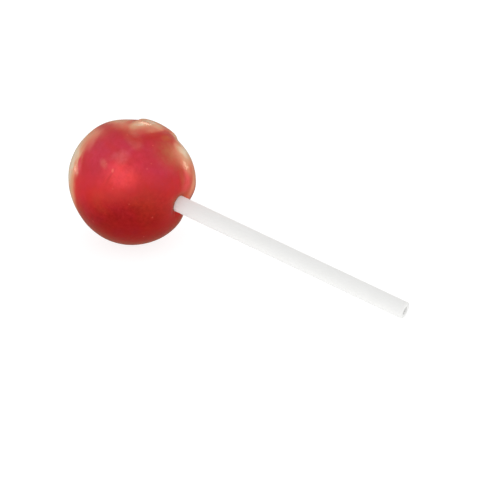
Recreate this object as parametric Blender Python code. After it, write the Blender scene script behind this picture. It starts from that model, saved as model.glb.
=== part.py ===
"""A round lollipop of boiled sugar on a white plastic tube, lying as it was put down.

Two pieces: the candy, a ball cast round the stick, and the stick, an open tube. The lollipop rests on a small flat
at the bottom of the ball and on the lower rim of the stick's free end. Metres, +Z up, +X the way the stick points,
and the origin at the middle of the flat.

The pieces are modelled in the ball's own frame: its origin is the ball's centre, +X runs out along the stick, and
+Z is the side that lies uppermost.
"""
import math

import bmesh
import bpy
from mathutils import Matrix, Vector

MM = 0.001
DEG = math.pi / 180

# The ball, and the flat it rests on
BALL_RADIUS = 13.5 * MM
REST_RADIUS = 3.0 * MM
REST_HEIGHT = math.sqrt(BALL_RADIUS**2 - REST_RADIUS**2)

# The stick, measured along its axis from the ball's centre
STICK_RADIUS = 1.75 * MM
STICK_TIP = 67.0 * MM
STICK_ROOT = -5.0 * MM
BORE_RADIUS = 0.8 * MM
OUTER_ROUNDING = 0.35 * MM
INNER_ROUNDING = 0.2 * MM

# The socket that the stick leaves in the candy
GAP = 0.3 * MM
SOCKET_RADIUS = STICK_RADIUS + GAP
SOCKET_END = STICK_ROOT - GAP

# The ball is pressed nearly flat where the stick comes out, and the candy shrank a little round the stick there
FLAT_DEPTH = 1.3 * MM
FLAT_SPREAD = 4.3 * MM
PUCKER_DEPTH = 0.3 * MM
PUCKER_RADIUS = 2.8 * MM

# Slow swells and flats of the hand-cooled ball: latitude towards the stick, clock angle about the stick from the
# top towards +Y, spread, and height
SWELLS = {
    "flat behind the lip": (-21 * DEG, 22 * DEG, 16 * DEG, -0.5 * MM),
    "flat before the lip": (21 * DEG, 44 * DEG, 14 * DEG, -0.45 * MM),
    "low near side": (-30 * DEG, -125 * DEG, 33 * DEG, -0.45 * MM),
    "full collar": (50 * DEG, 90 * DEG, 16 * DEG, 0.2 * MM),
    "dent underneath": (-20 * DEG, 128 * DEG, 12 * DEG, -0.3 * MM),
    "hollow by the stick": (63 * DEG, 120 * DEG, 11 * DEG, -0.9 * MM),
}

# The lip: syrup that ran over the top of the ball and set there as an oval with a stepped edge
LIP_LATITUDE = 2.5 * DEG
LIP_CLOCK = 34.0 * DEG
LIP_HALF_LENGTH = 47.0 * DEG
LIP_HALF_WIDTH = 13.8 * DEG
LIP_HEIGHT = 0.02 * MM
LIP_EDGE = 0.9 * MM
CREASE_DEPTH = 0.15 * MM
CREASE_WIDTH = 1.0 * MM
LIP_FADE = (50 * DEG, 84 * DEG)

# Mesh fineness
BALL_SEGMENTS = 72
COARSE_STEP = 7.0 * DEG
FINE_STEP = 3.25 * DEG
FINE_ZONES = ((0.0 * DEG, 34.0 * DEG), (66.0 * DEG, 112.0 * DEG))
PUCKER_RINGS = 3
STICK_SEGMENTS = 32
ROUNDING_STEPS = 4
MERGE = 1e-7


def smooth_step(low, high, value):
    """0 below low, 1 above high, and an even curve between."""
    t = min(1.0, max(0.0, (value - low) / (high - low)))
    return t * t * (3 - 2 * t)


def direction(latitude, clock):
    """The unit vector of a place on the ball."""
    return Vector((
        math.sin(latitude),
        math.cos(latitude) * math.sin(clock),
        math.cos(latitude) * math.cos(clock),
    ))


def swell_height(unit):
    """The sum of the slow swells and flats."""
    total = 0.0
    for latitude, clock, spread, height in SWELLS.values():
        away = unit.angle(direction(latitude, clock))
        total += height * math.exp(-((away / spread) ** 2))
    return total


def outside_lip(unit):
    """How far a place lies outside the lip's oval, along the skin; negative inside it."""
    latitude = math.asin(max(-1.0, min(1.0, unit.x)))
    clock = math.atan2(unit.y, unit.z)
    along = BALL_RADIUS * (clock - LIP_CLOCK) * math.cos(latitude)
    across = BALL_RADIUS * (latitude - LIP_LATITUDE)
    long_axis = BALL_RADIUS * LIP_HALF_LENGTH
    short_axis = BALL_RADIUS * LIP_HALF_WIDTH
    share = max(math.hypot(along / long_axis, across / short_axis), MERGE)
    slope = max(math.hypot(along / long_axis**2, across / short_axis**2) / share, MERGE)
    return (share - 1) / slope


def skin_height(unit):
    """The skin's height over a true ball: swells outside the lip, the lip's own top inside it, a crease between."""
    swell = swell_height(unit)
    outside = outside_lip(unit)
    fade = 1 - smooth_step(*LIP_FADE, math.atan2(unit.y, unit.z))
    lip = fade * (1 - smooth_step(-LIP_EDGE / 2, LIP_EDGE / 2, outside))
    crease = fade * CREASE_DEPTH * math.exp(-(((outside - LIP_EDGE / 2) / (CREASE_WIDTH / 2)) ** 2))
    return swell + (LIP_HEIGHT - swell) * lip - crease


def sunk_by_stick(axis_distance):
    """How far the pressed end and the small cone round the stick lie below a true ball."""
    pressed = FLAT_DEPTH * math.exp(-((axis_distance / FLAT_SPREAD) ** 2))
    inward = (PUCKER_RADIUS - axis_distance) / (PUCKER_RADIUS - STICK_RADIUS)
    return pressed + PUCKER_DEPTH * min(1.0, max(0.0, inward))


def ball_profile():
    """The half-outline from the socket's floor to the ball's far pole, in the XZ plane."""
    points = [
        Vector((SOCKET_END, 0, 0)),
        Vector((SOCKET_END, 0, SOCKET_RADIUS)),
    ]
    polar_angles = []
    first = math.asin(SOCKET_RADIUS / BALL_RADIUS)
    last_of_pucker = math.asin(PUCKER_RADIUS / BALL_RADIUS)
    for ring in range(PUCKER_RINGS + 1):
        polar_angles.append(first + (last_of_pucker - first) * ring / PUCKER_RINGS)
    while polar_angles[-1] < math.pi - COARSE_STEP:
        fine = any(start <= polar_angles[-1] < end for start, end in FINE_ZONES)
        polar_angles.append(polar_angles[-1] + (FINE_STEP if fine else COARSE_STEP))
    for polar in polar_angles:
        point = Vector((BALL_RADIUS * math.cos(polar), 0, BALL_RADIUS * math.sin(polar)))
        if point.x > 0:
            point.x -= sunk_by_stick(point.z)
        points.append(point)
    points.append(Vector((-BALL_RADIUS, 0, 0)))
    return points


def rounded_end(x, outward):
    """The tube's wall at one end, from its outside to its bore: two quarter rounds and the face between them."""
    points = []
    for step in range(ROUNDING_STEPS + 1):
        angle = math.pi / 2 * step / ROUNDING_STEPS
        points.append(Vector((
            x - outward * OUTER_ROUNDING * (1 - math.sin(angle)),
            0,
            STICK_RADIUS - OUTER_ROUNDING * (1 - math.cos(angle)),
        )))
    for step in range(ROUNDING_STEPS + 1):
        angle = math.pi / 2 * step / ROUNDING_STEPS
        points.append(Vector((
            x - outward * INNER_ROUNDING * (1 - math.cos(angle)),
            0,
            BORE_RADIUS + INNER_ROUNDING * (1 - math.sin(angle)),
        )))
    return points


def spun(points, segments, closed):
    """A bmesh of the outline turned a full circle about X."""
    mesh = bmesh.new()
    verts = [mesh.verts.new(point) for point in points]
    edges = [mesh.edges.new(pair) for pair in zip(verts, verts[1:])]
    if closed:
        edges.append(mesh.edges.new((verts[-1], verts[0])))
    bmesh.ops.spin(
        mesh,
        geom=verts + edges,
        cent=(0, 0, 0),
        axis=(1, 0, 0),
        angle=math.tau,
        steps=segments,
        use_merge=True,
    )
    bmesh.ops.remove_doubles(mesh, verts=mesh.verts, dist=MERGE)
    return mesh


def shape_skin(mesh):
    """Moves the ball's skin in and out by its swells and its lip, and leaves the socket round."""
    for vert in mesh.verts:
        axis_distance = math.hypot(vert.co.y, vert.co.z)
        in_socket = vert.co.x > SOCKET_END - MERGE and axis_distance < SOCKET_RADIUS + MERGE
        if in_socket:
            continue
        unit = vert.co.normalized()
        vert.co += unit * skin_height(unit)


def cut_rest_flat(mesh, lean):
    """Slices off the bottom of the ball along the table and closes the cut with one face."""
    down = lean.inverted() @ Vector((0, 0, -1))
    cut = bmesh.ops.bisect_plane(
        mesh,
        geom=mesh.verts[:] + mesh.edges[:] + mesh.faces[:],
        dist=MERGE,
        plane_co=down * REST_HEIGHT,
        plane_no=down,
        clear_outer=True,
    )
    rim = [item for item in cut["geom_cut"] if isinstance(item, bmesh.types.BMEdge)]
    bmesh.ops.edgeloop_fill(mesh, edges=rim)


def material(name, colour, roughness):
    """A Principled material with the piece's colour and roughness."""
    made = bpy.data.materials.new(name)
    made.use_nodes = True
    shader = made.node_tree.nodes["Principled BSDF"]
    shader.inputs["Base Color"].default_value = (*colour, 1)
    shader.inputs["Roughness"].default_value = roughness
    shader.inputs["Metallic"].default_value = 0.0
    return made


def add_piece(name, mesh, surface, holder):
    """Makes an object of a bmesh, shades it smooth and hangs it on the holder."""
    bmesh.ops.recalc_face_normals(mesh, faces=mesh.faces)
    data = bpy.data.meshes.new(name)
    mesh.to_mesh(data)
    mesh.free()
    data.shade_smooth()
    data.set_sharp_from_angle(angle=40 * DEG)
    data.materials.append(surface)
    piece = bpy.data.objects.new(name, data)
    piece.parent = holder
    bpy.context.collection.objects.link(piece)
    return piece


def stick_slope():
    """How far the stick dips from level, so that its rounded lower rim just meets the table."""
    reach = STICK_TIP - OUTER_ROUNDING
    below = STICK_RADIUS - OUTER_ROUNDING
    drop = REST_HEIGHT - OUTER_ROUNDING
    return math.asin(drop / math.hypot(reach, below)) - math.atan2(below, reach)


def add_holder(slope):
    """An empty at the ball's centre, leaning as the lollipop lies."""
    holder = bpy.data.objects.new("lying", None)
    holder.location = (0, 0, REST_HEIGHT)
    holder.rotation_euler = (0, slope, 0)
    bpy.context.collection.objects.link(holder)
    return holder


def add_candy(holder, slope):
    """The ball with its socket, its pucker, its lip and the flat it rests on."""
    mesh = spun(ball_profile(), BALL_SEGMENTS, closed=False)
    shape_skin(mesh)
    cut_rest_flat(mesh, Matrix.Rotation(slope, 3, "Y"))
    add_piece("candy", mesh, material("red_candy", (0.52, 0.035, 0.05), 0.2), holder)


def add_stick(holder):
    """The tube, open at both ends, its rims rounded."""
    outline = rounded_end(STICK_TIP, 1) + list(reversed(rounded_end(STICK_ROOT, -1)))
    mesh = spun(outline, STICK_SEGMENTS, closed=True)
    add_piece("stick", mesh, material("white_plastic", (0.88, 0.88, 0.86), 0.45), holder)


def main():
    for old in list(bpy.data.objects):
        bpy.data.objects.remove(old, do_unlink=True)
    slope = stick_slope()
    holder = add_holder(slope)
    add_candy(holder, slope)
    add_stick(holder)
    bpy.context.view_layer.update()


main()
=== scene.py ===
import math

import bpy
from mathutils import Matrix, Vector, noise


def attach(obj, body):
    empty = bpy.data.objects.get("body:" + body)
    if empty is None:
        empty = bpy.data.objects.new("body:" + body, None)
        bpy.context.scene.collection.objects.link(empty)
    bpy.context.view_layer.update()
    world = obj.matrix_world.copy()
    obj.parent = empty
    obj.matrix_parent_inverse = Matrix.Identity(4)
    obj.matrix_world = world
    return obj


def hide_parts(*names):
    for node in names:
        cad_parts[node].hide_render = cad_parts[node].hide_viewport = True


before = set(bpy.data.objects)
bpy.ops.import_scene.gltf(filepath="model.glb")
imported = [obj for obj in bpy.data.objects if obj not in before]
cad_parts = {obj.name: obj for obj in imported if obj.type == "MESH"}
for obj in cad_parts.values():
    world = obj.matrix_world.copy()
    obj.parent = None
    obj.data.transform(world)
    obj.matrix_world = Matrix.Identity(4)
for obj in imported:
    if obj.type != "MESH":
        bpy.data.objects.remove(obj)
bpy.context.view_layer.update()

MM = 0.001
DEG = math.pi / 180

# The ball and the stick, as the frame has them
BALL_RADIUS = 13.5 * MM
REST_RADIUS = 3.0 * MM
REST_HEIGHT = math.sqrt(BALL_RADIUS**2 - REST_RADIUS**2)
STICK_RADIUS = 1.75 * MM
STICK_TIP = 67.0 * MM
STICK_ROOT = -5.0 * MM
BORE_RADIUS = 0.8 * MM
OUTER_ROUNDING = 0.35 * MM
INNER_ROUNDING = 0.2 * MM

# The end pressed flat where the stick comes out, and the small hollow where the candy shrank round the stick.
# The hollow's slope is given in shares of the way from its rim, 0, to the stick's skin, 1
FLAT_DEPTH = 1.3 * MM
FLAT_SPREAD = 4.3 * MM
PUCKER_DEPTH = 0.3 * MM
PUCKER_RADIUS = 2.8 * MM
PUCKER_SLOPE = (-0.4, 1.4)
GRIP = 0.03 * MM
MENISCUS = 0.1 * MM
MENISCUS_REACH = 0.25 * MM

# The wrinkles in that hollow, in two bunches. They begin a little way out from the stick and die away over
# the outer half of the hollow
WRINKLES = 9
WRINKLE_BUNCHES = 2
WRINKLE_BUNCHING = 2
WRINKLE_HEIGHT = 0.05 * MM
WRINKLE_START = STICK_RADIUS * 1.3
WRINKLE_FADE = 0.5

# Slow swells and flats: latitude towards the stick, clock angle about the stick from the top towards +Y,
# spread and height
SWELLS = {
    "flat behind the lip": (-21 * DEG, 22 * DEG, 16 * DEG, -0.5 * MM),
    "flat before the lip": (21 * DEG, 44 * DEG, 14 * DEG, -0.45 * MM),
    "low near side": (-30 * DEG, -125 * DEG, 33 * DEG, -0.45 * MM),
    "full collar": (50 * DEG, 90 * DEG, 16 * DEG, 0.2 * MM),
    "dent underneath": (-20 * DEG, 128 * DEG, 12 * DEG, -0.3 * MM),
    "hollow by the stick": (63 * DEG, 120 * DEG, 11 * DEG, -0.9 * MM),
}

# The lip of syrup over the top
LIP_LATITUDE = 2.5 * DEG
LIP_CLOCK = 34.0 * DEG
LIP_HALF_LENGTH = 47.0 * DEG
LIP_HALF_WIDTH = 13.8 * DEG
LIP_HEIGHT = 0.02 * MM
LIP_EDGE = 0.7 * MM
CREASE_DEPTH = 0.1 * MM
CREASE_WIDTH = 0.8 * MM
LIP_FADE = (50 * DEG, 84 * DEG)
LIP_WOBBLE = 0.25 * MM
LIP_WOBBLES_PER_RADIUS = 6
LIP_PAINT_EDGE = (-0.2 * MM, 0.9 * MM)
LIP_SHADE_AT = 1.05 * MM
LIP_SHADE_WIDTH = 0.95 * MM

# Fine unevenness of the skin
WAVE_SIZE = 0.28
WAVE_HEIGHT = 0.05 * MM
RIPPLE_SIZE = 0.09
RIPPLE_HEIGHT = 0.012 * MM

# The camera, at the photograph's angle
CAMERA_DISTANCE = 0.4
CAMERA_AZIMUTH = 36.436 * DEG
CAMERA_ELEVATION = 25.381 * DEG
CAMERA_TURN = 32.469 * DEG
CAMERA_TILT = 62.480 * DEG
LENS_MM = 136.03
SENSOR_MM = 36.0
NEAREST_SEEN = 0.01

# Mesh fineness
BALL_STEPS = 300
STICK_SEGMENTS = 96
OUTER_ROUNDING_STEPS = 6
INNER_ROUNDING_STEPS = 4
SHARP_ANGLE = 50 * DEG

# How near a place has to be to count as there, how near points are merged, and the least size in a division
NEAR = 0.01 * MM
MERGE = 1e-6
TINY = 1e-7


def smooth_step(low, high, value):
    """0 below low, 1 above high, and an even curve between."""
    t = min(1.0, max(0.0, (value - low) / (high - low)))
    return t * t * (3 - 2 * t)


def direction(latitude, clock):
    """The unit vector of a place on the ball, in the ball's own frame."""
    return Vector((
        math.sin(latitude),
        math.cos(latitude) * math.sin(clock),
        math.cos(latitude) * math.cos(clock),
    ))


def bearing(azimuth, elevation):
    """The unit vector from the ball towards a camera or a lamp; azimuth 0 is -Y, and 90 degrees is +X."""
    return Vector((
        math.sin(azimuth) * math.cos(elevation),
        -math.cos(azimuth) * math.cos(elevation),
        math.sin(elevation),
    ))


def between(low, high, share):
    """A value that runs from low, where the share is 0, to high, where it is 1."""
    return low + share * (high - low)


def stick_slope():
    """How far the stick dips from level, so that its rounded lower rim just meets the table."""
    reach = STICK_TIP - OUTER_ROUNDING
    below = STICK_RADIUS - OUTER_ROUNDING
    drop = REST_HEIGHT - OUTER_ROUNDING
    return math.asin(drop / math.hypot(reach, below)) - math.atan2(below, reach)


SLOPE = stick_slope()
LYING = Matrix.Translation((0, 0, REST_HEIGHT)) @ Matrix.Rotation(SLOPE, 4, "Y")


# Modelling helpers

def deselect_all():
    bpy.ops.object.select_all(action="DESELECT")


def select_only(piece):
    deselect_all()
    piece.select_set(True)
    bpy.context.view_layer.objects.active = piece


def edit(piece, mode):
    """Enters edit mode on one piece, in vertex, edge or face mode, with nothing selected."""
    select_only(piece)
    bpy.ops.object.mode_set(mode="EDIT")
    bpy.ops.mesh.select_mode(type=mode)
    bpy.ops.mesh.select_all(action="DESELECT")


def leave_edit():
    bpy.ops.object.mode_set(mode="OBJECT")


def pick(piece, kind, test):
    """Selects the vertices, edges or faces of a piece in edit mode that pass a test on their middle."""
    bpy.ops.mesh.select_all(action="DESELECT")
    leave_edit()
    data = piece.data
    for item in getattr(data, kind):
        if kind == "vertices":
            middle = item.co
        elif kind == "edges":
            middle = (data.vertices[item.vertices[0]].co + data.vertices[item.vertices[1]].co) / 2
        else:
            middle = item.center
        item.select = test(middle)
    bpy.ops.object.mode_set(mode="EDIT")


def off_axis(place):
    return math.hypot(place.y, place.z)


def lay_down(piece):
    """Puts a piece modelled in the ball's frame in its place, and applies the place to its mesh."""
    piece.matrix_world = LYING
    select_only(piece)
    bpy.ops.object.transform_apply(location=True, rotation=True, scale=True)


# The candy's form

def swell_height(unit):
    total = 0.0
    for latitude, clock, spread, height in SWELLS.values():
        away = unit.angle(direction(latitude, clock))
        total += height * math.exp(-((away / spread) ** 2))
    return total


def outside_lip(unit):
    """How far a place lies outside the lip's oval, along the skin; negative inside it."""
    latitude = math.asin(max(-1.0, min(1.0, unit.x)))
    clock = math.atan2(unit.y, unit.z)
    along = BALL_RADIUS * (clock - LIP_CLOCK) * math.cos(latitude)
    across = BALL_RADIUS * (latitude - LIP_LATITUDE)
    long_axis = BALL_RADIUS * LIP_HALF_LENGTH
    short_axis = BALL_RADIUS * LIP_HALF_WIDTH
    share = max(math.hypot(along / long_axis, across / short_axis), TINY)
    slope = max(math.hypot(along / long_axis**2, across / short_axis**2) / share, TINY)
    return (share - 1) / slope


def lip_edge(unit):
    """How far a place lies outside the lip's uneven edge, and how much of the lip is left on that side."""
    outside = outside_lip(unit) + LIP_WOBBLE * noise.noise(unit * LIP_WOBBLES_PER_RADIUS)
    return outside, 1 - smooth_step(*LIP_FADE, math.atan2(unit.y, unit.z))


def skin_height(unit):
    """The skin's height over a true ball: swells outside the lip, the lip's own top, a crease between."""
    swell = swell_height(unit)
    outside, fade = lip_edge(unit)
    lip = fade * (1 - smooth_step(-LIP_EDGE / 2, LIP_EDGE / 2, outside))
    crease = fade * CREASE_DEPTH * math.exp(-(((outside - LIP_EDGE / 2) / (CREASE_WIDTH / 2)) ** 2))
    wave = WAVE_HEIGHT * noise.noise(unit / WAVE_SIZE)
    ripple = RIPPLE_HEIGHT * noise.noise(unit / RIPPLE_SIZE)
    return swell + (LIP_HEIGHT - swell) * lip - crease + wave + ripple


def sunk_by_stick(place):
    """How far the pressed end lies below a true ball, with its hollow, its wrinkles and a meniscus."""
    away = off_axis(place)
    clock = math.atan2(place.y, place.z)
    pressed = FLAT_DEPTH * math.exp(-((away / FLAT_SPREAD) ** 2))
    inward = (PUCKER_RADIUS - away) / (PUCKER_RADIUS - STICK_RADIUS)
    cone = PUCKER_DEPTH * smooth_step(*PUCKER_SLOPE, inward)
    bunched = WRINKLES * clock + WRINKLE_BUNCHING * math.sin(WRINKLE_BUNCHES * clock)
    left_at_rim = min(1.0, max(0.0, inward / WRINKLE_FADE))
    left_at_stick = smooth_step(STICK_RADIUS, WRINKLE_START, away)
    wrinkle = WRINKLE_HEIGHT * math.sin(bunched) * left_at_rim * left_at_stick
    climb = MENISCUS * math.exp(-(away - STICK_RADIUS) / MENISCUS_REACH)
    return pressed + cone + wrinkle - climb


def mark_lip(candy):
    """Notes in the mesh how far each point is on the lip's top, and how far in the shade under its edge."""
    on_top = candy.data.attributes.new("lip_top", "FLOAT", "POINT")
    in_shade = candy.data.attributes.new("lip_shade", "FLOAT", "POINT")
    to_ball = LYING.inverted()
    for vert in candy.data.vertices:
        outside, fade = lip_edge((to_ball @ vert.co).normalized())
        on_top.data[vert.index].value = 1 - smooth_step(*LIP_PAINT_EDGE, outside)
        from_shade = (outside - LIP_SHADE_AT) / LIP_SHADE_WIDTH
        in_shade.data[vert.index].value = fade * math.exp(-(from_shade**2))


def make_candy():
    """The ball: a half circle spun about the stick's axis, with the stick's socket extruded into it."""
    deselect_all()
    bpy.ops.mesh.primitive_circle_add(
        vertices=BALL_STEPS, radius=BALL_RADIUS, fill_type="NOTHING", rotation=(math.pi / 2, 0, 0)
    )
    candy = bpy.context.object
    candy.name = "candy_ball"
    candy.data.name = "candy_ball"
    bpy.ops.object.transform_apply(location=True, rotation=True, scale=True)

    mouth = STICK_RADIUS - GRIP
    edit(candy, "VERT")
    pick(candy, "vertices", lambda place: place.z < -NEAR)
    bpy.ops.mesh.delete(type="VERT")
    pick(candy, "vertices", lambda place: place.x > 0 and place.z < mouth)
    bpy.ops.mesh.delete(type="VERT")
    leave_edit()

    mouth_x = math.sqrt(BALL_RADIUS**2 - mouth**2)
    rim = min((vert for vert in candy.data.vertices if vert.co.x > 0), key=lambda vert: vert.co.z)
    rim.co = (mouth_x, 0, mouth)
    edit(candy, "VERT")
    pick(candy, "vertices", lambda place: place.x > 0 and place.z < mouth + NEAR)
    bpy.ops.mesh.extrude_region_move(TRANSFORM_OT_translate={"value": (STICK_ROOT - mouth_x, 0, 0)})
    bpy.ops.mesh.extrude_region_move(TRANSFORM_OT_translate={"value": (0, 0, -mouth)})
    bpy.ops.mesh.select_all(action="SELECT")
    bpy.ops.mesh.spin(steps=BALL_STEPS, angle=math.tau, center=(0, 0, 0), axis=(1, 0, 0))
    bpy.ops.mesh.select_all(action="SELECT")
    bpy.ops.mesh.remove_doubles(threshold=MERGE)
    bpy.ops.mesh.normals_make_consistent(inside=False)
    leave_edit()

    for vert in candy.data.vertices:
        on_socket_floor = abs(vert.co.x - STICK_ROOT) < NEAR and off_axis(vert.co) < mouth + NEAR
        if on_socket_floor:
            continue
        unit = vert.co.normalized()
        vert.co += unit * skin_height(unit)
        if vert.co.x > 0:
            vert.co.x -= sunk_by_stick(vert.co)

    lay_down(candy)
    edit(candy, "VERT")
    bpy.ops.mesh.select_all(action="SELECT")
    bpy.ops.mesh.bisect(
        plane_co=(0, 0, 0), plane_no=(0, 0, -1), use_fill=True, clear_outer=True, threshold=TINY
    )
    leave_edit()
    bpy.ops.object.shade_smooth()
    mark_lip(candy)
    return candy


def make_stick():
    """The tube: a cylinder with its ends inset, bridged through and rounded."""
    length = STICK_TIP - STICK_ROOT
    deselect_all()
    bpy.ops.mesh.primitive_cylinder_add(
        vertices=STICK_SEGMENTS,
        radius=STICK_RADIUS,
        depth=length,
        location=((STICK_TIP + STICK_ROOT) / 2, 0, 0),
        rotation=(0, math.pi / 2, 0),
    )
    stick = bpy.context.object
    stick.name = "stick_tube"
    stick.data.name = "stick_tube"
    bpy.ops.object.transform_apply(location=True, rotation=True, scale=True)

    edit(stick, "FACE")
    pick(stick, "polygons", lambda place: off_axis(place) < BORE_RADIUS)
    bpy.ops.mesh.inset(thickness=STICK_RADIUS - BORE_RADIUS)
    bpy.ops.mesh.bridge_edge_loops()
    bpy.ops.mesh.select_mode(type="EDGE")

    def on_end(place):
        return min(abs(place.x - STICK_TIP), abs(place.x - STICK_ROOT)) < NEAR

    pick(stick, "edges", lambda place: on_end(place) and off_axis(place) > STICK_RADIUS - NEAR)
    bpy.ops.mesh.bevel(offset=OUTER_ROUNDING, segments=OUTER_ROUNDING_STEPS, affect="EDGES")
    pick(stick, "edges", lambda place: on_end(place) and off_axis(place) < BORE_RADIUS + NEAR)
    bpy.ops.mesh.bevel(offset=INNER_ROUNDING, segments=INNER_ROUNDING_STEPS, affect="EDGES")
    leave_edit()
    lay_down(stick)
    bpy.ops.object.shade_smooth_by_angle(angle=SHARP_ANGLE)
    return stick


# Shader helpers

NOISE_MIDDLE = (0.5, 0.5, 0.5)
DRIFT_DETAIL = 3.0


class Wire:
    """A socket that gives a value or a colour, and takes part in arithmetic."""

    def __init__(self, paint, socket):
        self.paint = paint
        self.socket = socket

    def maths(self, operation, first, second):
        return self.paint.node("ShaderNodeMath", {"operation": operation}, {0: first, 1: second})

    def __add__(self, other):
        return self.maths("ADD", self, other)

    def __sub__(self, other):
        return self.maths("SUBTRACT", self, other)

    def __rsub__(self, other):
        return self.maths("SUBTRACT", other, self)

    def __mul__(self, other):
        return self.maths("MULTIPLY", self, other)

    def __pow__(self, other):
        return self.maths("POWER", self, other)

    __radd__ = __add__
    __rmul__ = __mul__


class Paint:
    """One material's node tree."""

    def __init__(self, name):
        self.material = bpy.data.materials.new(name)
        self.material.use_nodes = True
        self.tree = self.material.node_tree
        self.tree.nodes.clear()

    def node(self, kind, settings, sockets, output=0):
        """Adds a node with its settings and its sockets' values or links, and returns one of its outputs."""
        made = self.tree.nodes.new(kind)
        for name, value in settings.items():
            if name == "stops":
                lay_stops(made.color_ramp, value)
            else:
                setattr(made, name, value)
        for name, value in sockets.items():
            if isinstance(value, Wire):
                self.tree.links.new(value.socket, made.inputs[name])
            else:
                made.inputs[name].default_value = value
        return Wire(self, made.outputs[output]) if output is not None else None

    def mix(self, share, first, second):
        """Blends the first colour into the second."""
        return self.node("ShaderNodeMix", {"data_type": "RGBA"}, {0: share, 6: first, 7: second}, 2)

    def fade(self, value, start, end):
        """0 where the value is at start, 1 where it is at end, and a soft curve between."""
        return self.node(
            "ShaderNodeMapRange",
            {"interpolation_type": "SMOOTHSTEP"},
            {"Value": value, "From Min": start, "From Max": end},
        )

    def dot(self, place, axis):
        return self.node("ShaderNodeVectorMath", {"operation": "DOT_PRODUCT"}, {0: place, 1: axis}, "Value")

    def stretched(self, place, scale):
        return self.node("ShaderNodeMapping", {"vector_type": "POINT"}, {"Vector": place, "Scale": scale})

    def drifted(self, place, size, amount):
        """A place pushed about by soft noise, so that what is laid there has wandering edges."""
        noisy = {"Vector": place, "Scale": 1 / size, "Detail": DRIFT_DETAIL}
        drift = self.node("ShaderNodeTexNoise", {}, noisy, "Color")
        levelled = {0: drift, 1: NOISE_MIDDLE}
        push = self.node("ShaderNodeVectorMath", {"operation": "SUBTRACT"}, levelled, "Vector")
        pushed = {0: push, 1: (amount, amount, amount), 2: place}
        return self.node("ShaderNodeVectorMath", {"operation": "MULTIPLY_ADD"}, pushed, "Vector")

    def shifted(self, colour, hue, value):
        """A colour with its hue turned, where 0.5 leaves it, and its brightness multiplied."""
        return self.node("ShaderNodeHueSaturation", {}, {"Hue": hue, "Value": value, "Color": colour})

    def mark(self, name):
        """A value that the mesh carries at its points."""
        return self.node("ShaderNodeAttribute", {"attribute_name": name}, {}, "Fac")

    def cloud(self, place, size, detail, roughness, distortion):
        """Soft noise with lumps of about the given size, round 0.5."""
        return self.node(
            "ShaderNodeTexNoise",
            {},
            {
                "Vector": place,
                "Scale": 1 / size,
                "Detail": detail,
                "Roughness": roughness,
                "Distortion": distortion,
            },
            "Fac",
        )

    def relief(self, height, depth):
        """A normal for a fine relief whose height runs from 0 to 1, and whose real depth is given."""
        sockets = {"Height": height, "Distance": depth, "Strength": 1.0}
        return self.node("ShaderNodeBump", {}, sockets, "Normal")

    def cover(self, piece, shader):
        """Ends the tree in a shader and gives the material to a piece."""
        self.node("ShaderNodeOutputMaterial", {}, {"Surface": shader}, None)
        piece.data.materials.clear()
        piece.data.materials.append(self.material)


def lay_stops(ramp, stops):
    while len(ramp.elements) < len(stops):
        ramp.elements.new(1.0)
    for element, (position, colour) in zip(ramp.elements, stops):
        element.position = position
        element.color = colour


def tint(red, green, blue):
    """A colour as it looks on screen, 0 to 255, in the linear values that nodes take."""
    def linear(level):
        share = level / 255
        return share / 12.92 if share <= 0.04045 else ((share + 0.055) / 1.055) ** 2.4
    return (linear(red), linear(green), linear(blue), 1.0)


# The candy's colours
CRIMSON = tint(202, 35, 44)
CHERRY = tint(213, 49, 46)
GARNET = tint(153, 18, 13)
# Garnet is the colour of the scratch, and of the painted shade underneath
MAGENTA = tint(220, 67, 95)
SHADE_RED = tint(203, 35, 24)
SALMON = tint(222, 113, 88)
PEACH = tint(228, 138, 107)
SAND = tint(232, 168, 131)
BONE = tint(243, 222, 194)
# Painted light: the glow of light focused through the candy, with its halo
PAINTED_GLOW = tint(255, 79, 87)
# Rose is the candy's own pink in places, and the colour of some painted glints and highlights
ROSE = tint(255, 119, 107)
BLUSH = tint(240, 94, 106)
PALE_ROSE = tint(236, 118, 122)
AMBER = tint(202, 96, 38)
RUST = tint(195, 122, 74)

# How soft the edge of a spot is, as a share of its size
HAZY = 0.9
SOFT = 0.6
CRISP = 0.25

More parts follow.
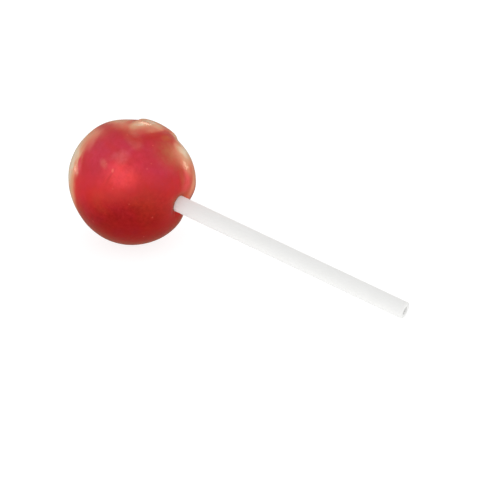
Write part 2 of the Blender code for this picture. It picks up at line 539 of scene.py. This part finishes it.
# Tints in the red: latitude towards the stick, clock angle about it from the top, half length and half width
# in ball radiuses, turn of the length towards the stick, softness of the edge, strength and colour
RED_TINTS = {
    # The glow and the halo are painted light, focused through the candy
    "painted glow of focused light": (15 * DEG, -53.5 * DEG, 0.13, 0.2, 0 * DEG, HAZY, 1.0, PAINTED_GLOW),
    "painted halo round the glow": (18 * DEG, -54 * DEG, 0.35, 0.28, -30 * DEG, HAZY, 0.5, PAINTED_GLOW),
    "pale mark": (9.5 * DEG, -38.5 * DEG, 0.11, 0.08, 0 * DEG, HAZY, 0.5, PALE_ROSE),
    "small pale mark": (3 * DEG, -41 * DEG, 0.09, 0.05, -40 * DEG, HAZY, 0.3, PALE_ROSE),
    "rust spot": (-3 * DEG, -51 * DEG, 0.07, 0.045, 55 * DEG, HAZY, 0.5, PEACH),
    "lobe": (5.5 * DEG, -16 * DEG, 0.2, 0.11, 55 * DEG, SOFT, 0.75, RUST),
    "edge of the lobe": (13 * DEG, -16.5 * DEG, 0.1, 0.03, 26 * DEG, HAZY, 0.35, ROSE),
    "tip of the lobe": (13.5 * DEG, -24.5 * DEG, 0.07, 0.03, -23 * DEG, HAZY, 0.2, ROSE),
    "amber shadow": (41 * DEG, 7 * DEG, 0.22, 0.27, 75 * DEG, HAZY, 0.65, RUST),
    "amber spot": (24.5 * DEG, 12 * DEG, 0.1, 0.06, -15 * DEG, HAZY, 0.9, AMBER),
    "garnet streak": (29 * DEG, 15 * DEG, 0.09, 0.05, -30 * DEG, HAZY, 0.5, SHADE_RED),
    "shade under the lip": (16.5 * DEG, 6 * DEG, 0.28, 0.06, -12 * DEG, HAZY, 0.8, SHADE_RED),
    # Painted highlight: the red under the right-hand highlight made warmer and paler
    "painted highlight by the stick": (57 * DEG, 22 * DEG, 0.12, 0.06, -75 * DEG, HAZY, 0.9, ROSE),
    "blush by the stick": (68 * DEG, 27 * DEG, 0.18, 0.11, 98 * DEG, HAZY, 0.8, BLUSH),
    "rust by the stick": (64 * DEG, 4 * DEG, 0.09, 0.05, 90 * DEG, HAZY, 0.3, RUST),
    "rose shoulder": (-36 * DEG, -31 * DEG, 0.12, 0.08, 50 * DEG, HAZY, 0.4, ROSE),
    "rust shoulder": (-28.5 * DEG, -35 * DEG, 0.13, 0.07, 15 * DEG, HAZY, 0.6, PEACH),
    "bright left edge": (-31 * DEG, -60 * DEG, 0.14, 0.05, 35 * DEG, HAZY, 0.5, BLUSH),
    "magenta shoulder": (-12 * DEG, -43 * DEG, 0.33, 0.26, 60 * DEG, HAZY, 0.5, MAGENTA),
    "magenta crown": (7 * DEG, -18 * DEG, 0.26, 0.23, 85 * DEG, HAZY, 0.5, MAGENTA),
    "magenta side": (51 * DEG, -33 * DEG, 0.38, 0.26, -110 * DEG, HAZY, 0.3, MAGENTA),
    # Partly tan crumbs at the edge of the hollow, partly painted rim light on its far side
    "rim of the collar with crumbs and painted rim light": (84 * DEG, 20 * DEG, 0.23, 0.08, 10 * DEG, HAZY, 0.4, RUST),
    "scratch": (8 * DEG, -59.5 * DEG, 0.1, 0.018, -8 * DEG, HAZY, 0.2, GARNET),
    # A painted glint: a tiny highlight on a bubble
    "painted glint on a bubble": (8 * DEG, -53.4 * DEG, 0.025, 0.016, 15 * DEG, HAZY, 0.8, ROSE),
    # Painted shade: the red darkened underneath
    "painted shade underneath": (27 * DEG, -108 * DEG, 0.75, 0.47, -70 * DEG, SOFT, 0.8, GARNET),
}

# Cream near the skin, given the same way
CREAM_STREAKS = {
    # The far end, the low limb and the upper limb are partly cream candy and partly painted rim reflection of
    # the bright room
    "far end": (-69 * DEG, -63 * DEG, 0.47, 0.58, 0 * DEG, CRISP, 0.92),
    "low limb": (-37 * DEG, -107 * DEG, 0.35, 0.17, 5 * DEG, HAZY, 0.7),
    "upper limb": (-45.5 * DEG, -19 * DEG, 0.36, 0.14, 75 * DEG, HAZY, 0.46),
    "shoulder streak": (-34 * DEG, -37 * DEG, 0.17, 0.11, 12 * DEG, HAZY, 0.26),
    "crown": (-29 * DEG, 10 * DEG, 0.42, 0.17, 45 * DEG, HAZY, 0.6),
    "shoulder": (30 * DEG, 42 * DEG, 0.35, 0.2, 60 * DEG, HAZY, 1.0),
    "heart of the shoulder": (40 * DEG, 24.5 * DEG, 0.16, 0.09, -46 * DEG, SOFT, 0.5),
    "foot of the shoulder": (42 * DEG, 13 * DEG, 0.17, 0.17, 60 * DEG, HAZY, 0.35),
    "collar": (58 * DEG, 61 * DEG, 0.34, 0.16, -62 * DEG, HAZY, 0.5),
    "root of the collar": (51.5 * DEG, 24 * DEG, 0.17, 0.07, -56 * DEG, HAZY, 0.2),
    "foot of the collar": (57.5 * DEG, 21 * DEG, 0.14, 0.08, 135 * DEG, HAZY, 0.25),
    "fading end of the lip": (-8 * DEG, -5 * DEG, 0.1, 0.07, -24 * DEG, HAZY, 0.08),
}

# Windows of clear red in the cream, given the same way
CLEAR_WINDOWS = {
    "end of the lip": (20 * DEG, 22 * DEG, 0.1, 0.07, 0 * DEG, HAZY, 0.5),
    "beside the left edge": (-30.5 * DEG, -60.5 * DEG, 0.1, 0.035, 27 * DEG, SOFT, 0.9),
    "left edge": (-35.5 * DEG, -68 * DEG, 0.17, 0.05, 40 * DEG, HAZY, 0.25),
    "over the far end": (-48 * DEG, -42 * DEG, 0.16, 0.07, 30 * DEG, HAZY, 0.12),
}

# Cream that ends at the lip's edge
LIP_CREAM = {
    "crest": (-13 * DEG, 26 * DEG, 0.38, 0.3, -30 * DEG, HAZY, 0.73),
    "far side": (4 * DEG, 19 * DEG, 0.15, 0.09, 85 * DEG, HAZY, 0.52),
    "front": (8 * DEG, 9 * DEG, 0.33, 0.2, -18 * DEG, HAZY, 0.4),
    # A painted highlight on the lip, laid in as cream
    "painted gleam on the lip": (0 * DEG, 4 * DEG, 0.08, 0.05, -5 * DEG, HAZY, 0.45),
    "near end": (-3 * DEG, 0 * DEG, 0.12, 0.08, 20 * DEG, HAZY, 0.43),
}

# How far round the ball a spot may reach, as the cosine of the angle from its middle: where it is gone, and
# where it is whole
SAME_SIDE = (0.0, 0.25)

# Air bubbles: their spacing in ball radiuses, their radius as a share of it, the soft edge as shares of
# their radius, and the lot that decides which cells have one
BUBBLE_SPACING = 0.14
BUBBLE_RADIUS = 0.1
BUBBLE_EDGE = (1.5, 0.5)
BUBBLE_LOT = (0.6, 0.9)
BUBBLE_STRENGTH = 0.25

# Soft noise: the size of its lumps in ball radiuses, its detail, its roughness and its distortion
COARSE_MOTTLE = (0.5, 2.0, 0.5, 0.4)
MIDDLE_MOTTLE = (0.2, 3.0, 0.6, 0.3)
FINE_MOTTLE = (0.06, 2.0, 0.6, 0.0)
SKIN_GRAIN = (0.05, 3.0, 0.6, 0.0)
SKIN_GRAIN_DEPTH = 0.03 * MM
STREAK_GRAIN = (0.3, 4.0, 0.6, 0.0)
STREAK_STRETCH = (4, 1, 1)
SWIRL_GRAIN = (0.9, 2.5, 0.45, 0.7)
SWIRL_STRETCH = (1.6, 1, 1)

# The red ground by height over the ball's centre: cherry below, crimson above, and garnet at the bottom as
# painted shade
UPWARDS = Vector((-0.17, 0, 0.985))
CRIMSON_HEIGHTS = (0.1, 0.6)
CRIMSON_WANDER = (-0.2, 0.2)
PAINTED_SHADE_HEIGHTS = (0.16, -0.68)

# What the noise does to the red, from least to most
TINT_BREAKUP = (0.3, 1.7)
RED_HUE = (0.49, 0.51)
RED_BRIGHTNESS = (0.86, 1.14)
LIP_SHADE = 0.6

# Cream: how its edges wander, how its streaks vary, where it starts to show, and its colours, thin to thick
DRIFT_SIZE = 0.2
DRIFT_REACH = 0.1
STREAK_STRENGTH = (0.75, 1.25)
CREAM_SHOWS = (0.0, 0.5)
CREAM_COLOURS = ((0.15, SALMON), (0.4, PEACH), (0.65, SAND), (0.9, BONE))

# The side away from the lip and the painted glow, where cream and red are swirled together: its middle, and
# for each of the two where it begins, as the cosine of the angle from there, the noise at its edge, and its
# strength
SWIRLED_SIDE = (-25 * DEG, 120 * DEG)
CREAM_SWIRLS_BEGIN = (0.15, 0.6)
CREAM_SWIRL_EDGE = (0.45, 0.72)
CREAM_SWIRL_STRENGTH = 0.85
RED_SWIRLS_BEGIN = (0.05, 0.35)
RED_SWIRL_EDGE = (0.58, 0.44)
RED_SWIRL_STRENGTH = 0.9

# Gloss of the skin, and how much glossier the lip is
CANDY_ROUGHNESS = (0.14, 0.24)
LIP_POLISH = 0.03

# The stick's plastic; the size of its lumps is a real length
PLASTIC_MOTTLE = (3 * MM, 3.0, 0.5, 0.0)
PLASTIC_WHITE = tint(253, 253, 252)
PLASTIC_GREY = tint(249, 249, 247)
PLASTIC_ROUGHNESS = (0.38, 0.48)


def oval(paint, place, latitude, clock, half_length, half_width, turn, soft):
    """1 inside an oval on the ball's skin and 0 outside it. Its edge is soft over that share of its size."""
    centre = direction(latitude, clock)
    up = Vector((1, 0, 0))
    towards_stick = (up - centre * centre.x).normalized()
    round_stick = towards_stick.cross(centre)
    along = round_stick * math.cos(turn) + towards_stick * math.sin(turn)
    across = towards_stick * math.cos(turn) - round_stick * math.sin(turn)
    length_share = paint.dot(place, along / half_length)
    width_share = paint.dot(place, across / half_width)
    away = (length_share * length_share + width_share * width_share) ** 0.5
    same_side = paint.fade(paint.dot(place, centre), *SAME_SIDE)
    return paint.fade(away, 1 + soft, 1 - soft) * same_side


def ball_place(paint):
    """Where a point lies in the ball's own frame, in ball radiuses."""
    return paint.node(
        "ShaderNodeMapping",
        {"vector_type": "TEXTURE"},
        {
            "Vector": paint.node("ShaderNodeTexCoord", {}, {}, "Object"),
            "Location": (0, 0, REST_HEIGHT),
            "Rotation": (0, SLOPE, 0),
            "Scale": (BALL_RADIUS, BALL_RADIUS, BALL_RADIUS),
        },
    )


def bubbles(paint, place):
    """Tiny pale air bubbles, one in some of the cells of an even scatter."""
    cells = {"Vector": place, "Scale": 1 / BUBBLE_SPACING}
    away = paint.node("ShaderNodeTexVoronoi", {}, cells, "Distance")
    cell_colour = paint.node("ShaderNodeTexVoronoi", {}, cells, "Color")
    lot = paint.node("ShaderNodeSeparateColor", {}, {0: cell_colour})
    outer, inner = BUBBLE_EDGE
    return paint.fade(away, BUBBLE_RADIUS * outer, BUBBLE_RADIUS * inner) * paint.fade(lot, *BUBBLE_LOT)


def cream_in(paint, place, streaks):
    """How much cream a table of streaks lays at each place, from 0 to 1."""
    clear = 1.0
    for latitude, clock, length, width, turn, soft, strength in streaks.values():
        mask = oval(paint, place, latitude, clock, length, width, turn, soft)
        clear = clear * (1 - mask * strength)
    return 1 - clear


def red_ground(paint, place):
    """The red under the cream: painted shade below, tints that include painted light, the shade under the lip
    and a few bubbles.
    """
    coarse = paint.cloud(place, *COARSE_MOTTLE)
    middle = paint.cloud(place, *MIDDLE_MOTTLE)
    fine = paint.cloud(place, *FINE_MOTTLE)

    height = paint.dot(place, UPWARDS)
    wandering = height + between(*CRIMSON_WANDER, coarse)
    red = paint.mix(paint.fade(wandering, *CRIMSON_HEIGHTS), CHERRY, CRIMSON)
    red = paint.mix(paint.fade(height, *PAINTED_SHADE_HEIGHTS), red, GARNET)

    broken = between(*TINT_BREAKUP, fine)
    for latitude, clock, length, width, turn, soft, strength, colour in RED_TINTS.values():
        mask = oval(paint, place, latitude, clock, length, width, turn, soft)
        red = paint.mix(mask * broken * strength, red, colour)
    red = paint.mix(paint.mark("lip_shade") * LIP_SHADE, red, SHADE_RED)
    red = paint.mix(bubbles(paint, place) * BUBBLE_STRENGTH, red, ROSE)
    return paint.shifted(red, between(*RED_HUE, coarse), between(*RED_BRIGHTNESS, middle))


def cream_layer(paint, place):
    """How much cream lies over the red, from 0 to a little over 1."""
    drifted = paint.drifted(place, DRIFT_SIZE, DRIFT_REACH)
    streak = paint.cloud(paint.stretched(place, STREAK_STRETCH), *STREAK_GRAIN)
    swirl = paint.cloud(paint.stretched(place, SWIRL_STRETCH), *SWIRL_GRAIN)
    towards_swirls = paint.dot(place, direction(*SWIRLED_SIDE))

    swirls_of_cream = paint.fade(towards_swirls, *CREAM_SWIRLS_BEGIN) * paint.fade(swirl, *CREAM_SWIRL_EDGE)
    clear = 1 - cream_in(paint, drifted, CREAM_STREAKS)
    clear = clear * (1 - cream_in(paint, drifted, LIP_CREAM) * paint.mark("lip_top"))
    clear = clear * (1 - swirls_of_cream * CREAM_SWIRL_STRENGTH)

    swirls_of_red = paint.fade(towards_swirls, *RED_SWIRLS_BEGIN) * paint.fade(swirl, *RED_SWIRL_EDGE)
    windows = cream_in(paint, drifted, CLEAR_WINDOWS)
    cream = (1 - clear) * (1 - windows) * (1 - swirls_of_red * RED_SWIRL_STRENGTH)
    return cream * between(*STREAK_STRENGTH, streak)


def candy_material(candy):
    """Red boiled sugar with cream and amber streaks under a glossy skin."""
    paint = Paint("red_candy")
    place = ball_place(paint)
    cream = cream_layer(paint, place)
    cream_colour = paint.node("ShaderNodeValToRGB", {"stops": CREAM_COLOURS}, {"Fac": cream})
    base = paint.mix(paint.fade(cream, *CREAM_SHOWS), red_ground(paint, place), cream_colour)

    skin = paint.cloud(place, *SKIN_GRAIN)
    roughness = between(*CANDY_ROUGHNESS, paint.cloud(place, *FINE_MOTTLE))
    shader = paint.node(
        "ShaderNodeBsdfPrincipled",
        {"subsurface_method": "RANDOM_WALK"},
        {
            "Base Color": base,
            "Roughness": roughness - paint.mark("lip_top") * LIP_POLISH,
            "IOR": 1.5,
            "Specular IOR Level": 0.4,
            "Subsurface Weight": 0.5,
            "Subsurface Radius": (1.0, 0.25, 0.2),
            "Subsurface Scale": 1.5 * MM,
            "Sheen Weight": 0.3,
            "Sheen Roughness": 0.35,
            "Sheen Tint": tint(255, 215, 180),
            "Normal": paint.relief(skin, SKIN_GRAIN_DEPTH),
        },
    )
    paint.cover(candy, shader)


def stick_material(stick):
    """Satin white plastic, very slightly uneven."""
    paint = Paint("white_plastic")
    spot = paint.node("ShaderNodeTexCoord", {}, {}, "Object")
    mottle = paint.cloud(spot, *PLASTIC_MOTTLE)
    shader = paint.node(
        "ShaderNodeBsdfPrincipled",
        {},
        {
            "Base Color": paint.mix(mottle, PLASTIC_WHITE, PLASTIC_GREY),
            "Roughness": between(*PLASTIC_ROUGHNESS, mottle),
            "Specular IOR Level": 0.25,
        },
    )
    paint.cover(stick, shader)


# The studio: a pale table that glows like a light table, a soft white room and three soft boxes

WHITE = (1, 1, 1, 1)
TABLE_SIZE = 4.0
TABLE_COLOUR = (0.3, 0.3, 0.3, 1)
TABLE_GLOW = 0.85

# The room's light, what of it is mirrored from above and from below, and how far the horizon is blurred
ROOM_LIGHT = 0.85
ROOM_GLOSS = 0.3
FLOOR_GLOSS = 0.05
HORIZON_BLUR = 0.3

# The soft boxes' colour, and for each its azimuth and elevation from the ball, its distance, its width and
# height, and its radiance
LAMP_COLOUR = (1.0, 0.78, 0.6)
SOFT_BOXES = {
    "left_strip": (-86 * DEG, -2 * DEG, 0.15, 0.036, 0.014, 5.4),
    "back_strip": (156 * DEG, -1.3 * DEG, 0.15, 0.012, 0.024, 9.0),
    "back_window": (-155 * DEG, 20.5 * DEG, 0.5, 0.06, 0.08, 3.7),
}


def make_table():
    deselect_all()
    bpy.ops.mesh.primitive_plane_add(size=TABLE_SIZE, location=(0, 0, 0))
    table = bpy.context.object
    table.name = "table"
    table.visible_glossy = False
    paint = Paint("table_white")
    shader = paint.node(
        "ShaderNodeBsdfPrincipled",
        {},
        {
            "Base Color": TABLE_COLOUR,
            "Roughness": 1.0,
            "Specular IOR Level": 0.0,
            "Emission Color": WHITE,
            "Emission Strength": TABLE_GLOW,
        },
    )
    paint.cover(table, shader)


def make_room():
    """A white room that is dimmer in reflections, and dark there below the horizon."""
    world = bpy.data.worlds.new("room")
    world.use_nodes = True
    tree = world.node_tree
    background = tree.nodes["Background"]
    towards = tree.nodes.new("ShaderNodeTexCoord")
    split = tree.nodes.new("ShaderNodeSeparateXYZ")
    tree.links.new(towards.outputs["Generated"], split.inputs["Vector"])
    gloss = tree.nodes.new("ShaderNodeMapRange")
    gloss.inputs["From Min"].default_value = -HORIZON_BLUR
    gloss.inputs["From Max"].default_value = HORIZON_BLUR
    gloss.inputs["To Min"].default_value = FLOOR_GLOSS
    gloss.inputs["To Max"].default_value = ROOM_GLOSS
    tree.links.new(split.outputs["Z"], gloss.inputs["Value"])
    path = tree.nodes.new("ShaderNodeLightPath")
    level = tree.nodes.new("ShaderNodeMapRange")
    level.inputs["To Min"].default_value = ROOM_LIGHT
    tree.links.new(path.outputs["Is Glossy Ray"], level.inputs["Value"])
    tree.links.new(gloss.outputs["Result"], level.inputs["To Max"])
    tree.links.new(level.outputs["Result"], background.inputs["Strength"])
    background.inputs["Color"].default_value = WHITE
    bpy.context.scene.world = world


def hang_soft_box(name, azimuth, elevation, distance, width, height, radiance):
    """A rectangular soft light that faces the ball."""
    towards = bearing(azimuth, elevation)
    data = bpy.data.lights.new(name, "AREA")
    data.shape = "RECTANGLE"
    data.size = width
    data.size_y = height
    data.energy = radiance * math.pi * width * height
    data.color = LAMP_COLOUR
    lamp = bpy.data.objects.new(name, data)
    lamp.location = Vector((0, 0, REST_HEIGHT)) + towards * distance
    lamp.rotation_euler = towards.to_track_quat("Z", "Y").to_euler()
    lamp.visible_camera = False
    bpy.context.scene.collection.objects.link(lamp)


def make_studio():
    make_table()
    make_room()
    for name, box in SOFT_BOXES.items():
        hang_soft_box(name, *box)


def add_camera():
    data = bpy.data.cameras.new("camera")
    data.lens = LENS_MM
    data.sensor_width = SENSOR_MM
    data.clip_start = NEAREST_SEEN
    camera = bpy.data.objects.new("camera", data)
    towards = bearing(CAMERA_AZIMUTH, CAMERA_ELEVATION)
    camera.location = Vector((0, 0, REST_HEIGHT)) + towards * CAMERA_DISTANCE
    camera.rotation_euler = (CAMERA_TILT, 0, CAMERA_TURN)
    bpy.context.scene.collection.objects.link(camera)
    bpy.context.scene.camera = camera


bpy.context.scene.view_settings.view_transform = "Standard"
add_camera()
candy = make_candy()
candy_material(candy)
stick = make_stick()
stick.visible_glossy = False
stick_material(stick)
make_studio()

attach(candy, "root")
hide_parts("candy")
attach(stick, "root")
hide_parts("stick")
